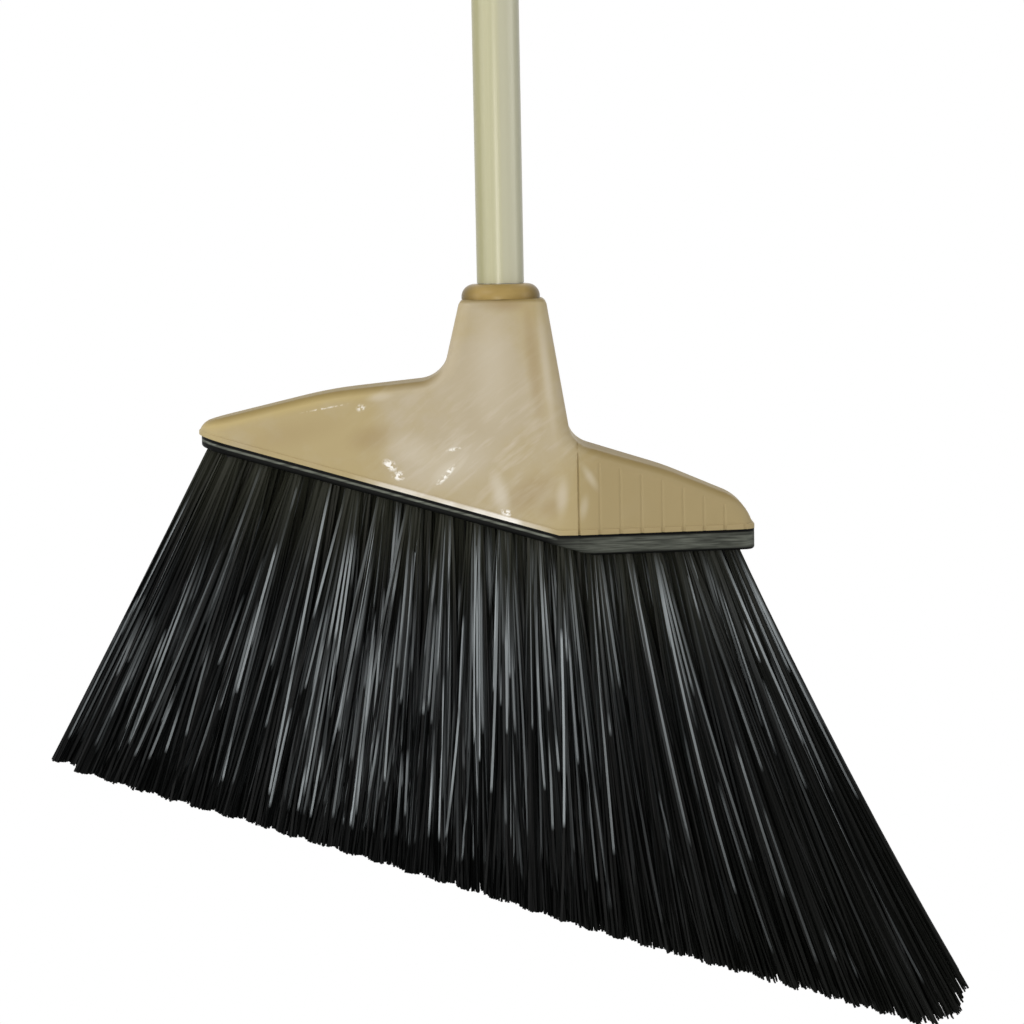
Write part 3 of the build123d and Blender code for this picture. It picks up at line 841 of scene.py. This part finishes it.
def strand_paths(rng, tufts, half, facing):
    """Middle lines of one row's strands, with each strand's place, slopes and whether it stands proud.

    P(t) = root + t (tip - root) + 4 t (1 - t) bend + t^3 splay, with t from 0 at the block to 1 at the trim.
    The tip is where a line from the block, at the fan's angle for its place, meets the slanted trim.
    """
    shape = (len(tufts), TUFT_STRANDS)
    number = np.arange(TUFT_STRANDS)
    proud = np.broadcast_to(number % PROUD_STEP == 0, shape)
    u = (number + rng.uniform(0, 1, shape)) * 2 / TUFT_STRANDS - 1
    inner = INNER_PLACE * (1 - 2 * rng.uniform(0, 1, shape) ** INNER_POWER)
    v = facing * half[:, None] * np.where(proud, PROUD_PLACE, inner)
    tuft_x, tuft_y = tufts[:, :1], tufts[:, 1:2]

    def level(x):
        return np.interp(x, tufts[:, 0], tufts[:, 2]) - ANCHOR_TO_FIELD

    beyond = (tuft_x == tufts[0, 0]) & (u < 0)
    root_x = tuft_x + np.where(beyond, HEEL_ROOT_HALF, ROOT_HALF) * u
    root = np.stack([root_x, tuft_y + ROOT_DEPTH * v, level(root_x) + STRAND_ROOT], -1)
    x = np.clip(tuft_x + SPREAD_HALF * u, tufts[0, 0] - HEEL_END, tufts[-1, 0] + TOE_END)
    y = tuft_y + v
    heel = -HEEL_FAN * np.maximum(x / HEEL_X, 0) ** HEEL_FAN_POWER
    toe = TOE_FAN * np.maximum(x / TOE_X, 0) ** TOE_FAN_POWER
    run = np.tan(heel + toe)
    side = ROW_FLARE * y / CREASE_HALF

    foot = level(x)
    toeness = np.clip(x / TOE_X, 0, 1)
    fall = np.minimum((foot - TRIM_Z + TRIM * x) / (1 - TRIM * run), foot - TOE_FLOOR_Z)
    fall += rng.normal(0, 1, shape) * (TRIM_RAG + (TOE_RAG - TRIM_RAG) * toeness**TOE_RAG_POWER)
    fall += rng.normal(0, TUFT_RAG, (len(tufts), 1))
    fall += END_SAG * np.maximum(x / HEEL_X, x / TOE_X) ** 2
    fall -= TOE_ROUND * np.clip((toeness - TOE_ROUND_FROM) / TOE_ROUND_OVER, 0, 1) ** 2
    tip = np.stack([x + run * fall, y + side * fall, foot - fall], -1)

    from_end = np.minimum(x - x.min(), x.max() - x)[..., None]
    loose = END_LOOSE + (1 - END_LOOSE) * np.clip(from_end / END_CALM, 0, 1)
    bend = loose * rng.normal(0, BEND, (*shape, 2))
    bend[..., 0] -= TOE_BOW * toeness
    outwards = PROUD_BEND_DEPTH * facing * np.abs(bend[..., 1])
    bend[..., 1] = np.where(proud, outwards, INNER_BEND_DEPTH * bend[..., 1])
    splay = loose * rng.normal(0, SPLAY, (*shape, 3))
    splay[..., 1] *= SPLAY_DEPTH
    lobe = np.abs(np.sin(math.pi * (tip[..., 0] + splay[..., 0]) / TRIM_LOBE))
    splay[..., 2] = LOBE_DEPTH * (1 - lobe) - TRIM * splay[..., 0]

    middle = root[..., None, :] + (tip - root)[..., None, :] * STRAND_T
    middle += STRAND_T**3 * splay[..., None, :]
    middle[..., :2] += 4 * STRAND_T * (1 - STRAND_T) * bend[..., None, :]
    return middle, x, run, side, proud


def strand_tubes(rng, middle, run, side, proud):
    """Corners of the strands, as strands by rings by sides by 3: middle + r (cos a ahead + sin a other)."""
    turn = rng.uniform(0, 2 * math.pi, run.shape)[..., None, None]
    twist = rng.normal(0, TWIST, run.shape)[..., None, None]
    angle = turn + twist * STRAND_T + np.arange(STRAND_SIDES) * 2 * math.pi / STRAND_SIDES
    zero = np.zeros(run.shape)
    slant = np.sqrt(1 + run**2)
    ahead = np.stack([1 / slant, zero, run / slant], -1)[..., None, None, :]
    other = np.stack([zero, zero + 1, side], -1)[..., None, None, :]
    radius = np.where(proud, PROUD_R, STRAND_R)[..., None, None, None]
    ring = radius * (np.cos(angle)[..., None] * ahead + np.sin(angle)[..., None] * other)
    return (middle[..., None, :] + ring).reshape(-1, STRAND_RINGS, STRAND_SIDES, 3)


def strand_shades(rng, x, proud):
    """Each corner's place in the painted glints, its light, dust and sheen, and the streak left below it.

    light = lit fade clip((t - start) / soft, 0, 1) and left = end - t, with t as in strand_paths.
    """
    shape = x.shape
    across = rng.uniform(0, GLINT_FIELD, shape)[..., None, None]
    along = GLINTS_ALONG * STRAND_T + rng.uniform(0, GLINT_FIELD, shape)[..., None, None]
    start = rng.uniform(0, 1, shape) ** START_POWER * along_head(x, START_SPREAD)
    start += along_head(x, STREAK_START)
    short = np.clip(rng.uniform(0, 1, shape) - along_head(x, FULL_STREAKS), 0, 1)
    end = STREAK_END - np.abs(rng.normal(0, STREAK_END_RAG, shape)) - along_head(x, STREAK_LOSS) * short
    bright = proud & (rng.uniform(0, 1, shape) < along_head(x, BRIGHT_SHARE))
    dim = along_head(x, DIM_LIGHT) * rng.uniform(0, 1, shape)
    lit = along_head(x, LIGHT_LEVEL) * np.where(bright, rng.uniform(BRIGHT_LEAST, 1, shape), dim)

    toeness = np.clip(x / TOE_X, 0, 1)[..., None, None]
    fade = np.maximum(1 + toeness * (TOE_GAIN - TOE_FADE * STRAND_T), TOE_FADE_LEAST)
    light = np.clip((STRAND_T - start[..., None, None]) / START_SOFT, 0, 1) * fade * lit[..., None, None]
    left = end[..., None, None] - STRAND_T
    dust_and_sheen = np.clip(1 - STRAND_T / DUST_REACH, 0, 1) * (1 - TOE_CLEAN * toeness)
    # dust at the roots, and painted sheen towards the toe's tips
    dust_and_sheen += TOE_SHEEN * toeness * STRAND_T

    def corners(values):
        return np.broadcast_to(values, (*shape, STRAND_RINGS, STRAND_SIDES)).reshape(-1)

    glints = np.stack([corners(across), corners(along)], -1)
    return glints, {"light": corners(light), "reach": corners(left), "dust_and_sheen": corners(dust_and_sheen)}


def bristle_rows(material):
    """One piece for each row of bristles: its strip of the block and its strands."""
    middles = anchors()
    pitch = np.abs(np.gradient(middles[:, :, 1], axis=0))
    # the rib that carries the screws lies between the two middle rows, so they take the outer rows' pitch
    pitch[ROWS // 2 - 1 : ROWS // 2 + 1] = np.abs(middles[1, :, 1] - middles[0, :, 1])
    for row in range(ROWS):
        rng = np.random.default_rng(row + 1)
        half = pitch[row] / 2
        facing = -1 if row < ROWS // 2 else 1
        slab = strip(middles[row], half)
        paths, x, run, side, proud = strand_paths(rng, middles[row], half, facing)
        hair = strand_tubes(rng, paths, run, side, proud)
        glints, shades = strand_shades(rng, x, proud)

        slab_faces = tube_faces(1, *slab.shape[:2])[:, ::-1]
        slab_points, hair_points = slab.reshape(-1, 3), hair.reshape(-1, 3)
        vertices = np.concatenate([slab_points, hair_points])
        faces = np.concatenate([slab_faces, tube_faces(*hair.shape[:3]) + len(slab_points)])
        name = f"bristle_row_{row + 1}"
        thing = piece(f"{name}_strands", vertices, faces, material, "head", name)
        glints = np.concatenate([np.zeros((len(slab_points), 2)), glints])
        places = thing.data.uv_layers.new(name="strand").uv
        places.foreach_set("vector", glints[faces.reshape(-1)].astype(np.float32).reshape(-1))
        for label, values in shades.items():
            values = np.concatenate([np.zeros(len(slab_points)), values]).astype(np.float32)
            thing.data.attributes.new(label, "FLOAT", "POINT").data.foreach_set("value", values)


def dress():
    """Gives every CAD node that still shows its finish."""
    zinc = steel("zinc_plated_steel", "#c4c6c6", 0.35, 1 * MM)
    finishes = {
        "handle_sleeve": cream_vinyl(),
        "handle_tube": steel("welded_bare_steel", "#8d8c88", 0.45, 2 * MM),
        "hanger_cap": black_polypropylene("moulded_black_hanger_polypropylene"),
        "collar_ring": amber_polypropylene(),
        "cap": tan_polypropylene(),
        "bristle_block": scratched_polypropylene(),
        "block_screws": zinc,
        "tuft_anchors": zinc,
    }
    for name, material in finishes.items():
        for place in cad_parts[name].material_slots:
            place.material = material


def white_surround():
    """A white world that lights at half its strength, apart from what the camera and reflections see."""
    scene = bpy.context.scene
    scene.view_settings.view_transform = "Standard"
    scene.world = bpy.data.worlds.new("white_surround")
    scene.world.use_nodes = True
    tree = scene.world.node_tree
    tree.nodes.clear()
    path = add(tree, "LightPath", {})
    seen = path.outputs["Is Camera Ray"]
    for ray in ("Is Glossy Ray", "Is Transmission Ray"):
        seen = add(tree, "Math", {0: seen, 1: path.outputs[ray]}, operation="MAXIMUM").outputs[0]
    level = add(tree, "MapRange", {"Value": seen, "To Min": SURROUND_LIGHT, "To Max": 1.0})
    surround = add(tree, "Background", {"Color": WHITE, "Strength": level.outputs[0]})
    add(tree, "OutputWorld", {"Surface": surround.outputs[0]})


def pale_floor():
    """A pale floor under the hanging broom, which goes over to white away from it."""
    low = cad_low.z - FLOOR_DROP
    corners = [
        (-FLOOR_HALF, -FLOOR_HALF, low),
        (FLOOR_HALF, -FLOOR_HALF, low),
        (FLOOR_HALF, FLOOR_HALF, low),
        (-FLOOR_HALF, FLOOR_HALF, low),
    ]
    mesh = bpy.data.meshes.new("studio_floor")
    mesh.from_pydata(corners, [], [(0, 1, 2, 3)])
    material, tree, place = blank("pale_studio_floor")
    path = add(tree, "LightPath", {})
    away = add(tree, "VectorMath", {0: place, 1: (0, 0, low)}, operation="DISTANCE")
    fade = add(
        tree,
        "MapRange",
        {"Value": away.outputs["Value"], "From Min": FLOOR_NEAR, "From Max": FLOOR_FAR},
        interpolation_type="SMOOTHSTEP",
    )
    paper = add(tree, "BsdfDiffuse", {"Color": linear("#e6e6e4")})
    lift = add(tree, "Emission", {"Color": WHITE, "Strength": FLOOR_LIGHT})
    near = add(tree, "AddShader", {0: paper.outputs[0], 1: lift.outputs[0]})
    white = add(tree, "Emission", {"Color": WHITE, "Strength": 1.0})
    shown = add(tree, "MixShader", {0: fade.outputs[0], 1: near.outputs[0], 2: white.outputs[0]})
    mixed = add(
        tree,
        "MixShader",
        {0: path.outputs["Is Camera Ray"], 1: paper.outputs[0], 2: shown.outputs[0]},
    )
    add(tree, "OutputMaterial", {"Surface": mixed.outputs[0]})
    mesh.materials.append(material)
    floor = bpy.data.objects.new("studio_floor", mesh)
    bpy.context.scene.collection.objects.link(floor)


def soft_boxes():
    """Square soft boxes round the broom, aimed at its head. Reflections show only those in front."""
    aim = Vector((0, 0, RING_TOP_Z - LIT_BELOW_RING))
    for name, (x, y, above, width, power, code) in SOFT_BOXES.items():
        light = bpy.data.lights.new(name, "AREA")
        light.size, light.energy, light.color = width, power, linear(code)[:3]
        box = bpy.data.objects.new(name, light)
        box.location = (x, y, RING_TOP_Z + above)
        box.rotation_euler = (aim - box.location).to_track_quat("-Z", "Y").to_euler()
        box.visible_camera = False
        box.visible_glossy = y < 0
        bpy.context.scene.collection.objects.link(box)


def camera():
    """A long lens, a little above the ring and six degrees down, rolled so that the handle leans left."""
    level = Vector((1, 0, 0))
    ahead = Vector((0, math.cos(CAMERA_PITCH), -math.sin(CAMERA_PITCH)))
    above = Vector((0, math.sin(CAMERA_PITCH), math.cos(CAMERA_PITCH)))
    right = math.cos(CAMERA_ROLL) * level - math.sin(CAMERA_ROLL) * above
    up = math.sin(CAMERA_ROLL) * level + math.cos(CAMERA_ROLL) * above
    data = bpy.data.cameras.new("camera")
    data.lens, data.sensor_width = LENS, SENSOR
    thing = bpy.data.objects.new("camera", data)
    turn = Matrix((right, up, -ahead)).transposed().to_4x4()
    thing.matrix_world = Matrix.Translation(CAMERA_PLACE) @ turn
    bpy.context.scene.collection.objects.link(thing)
    bpy.context.scene.camera = thing


dress()
threaded_tip(black_polypropylene("moulded_black_tip_polypropylene"))
bristle_rows(black_bristle())
white_surround()
pale_floor()
soft_boxes()
camera()
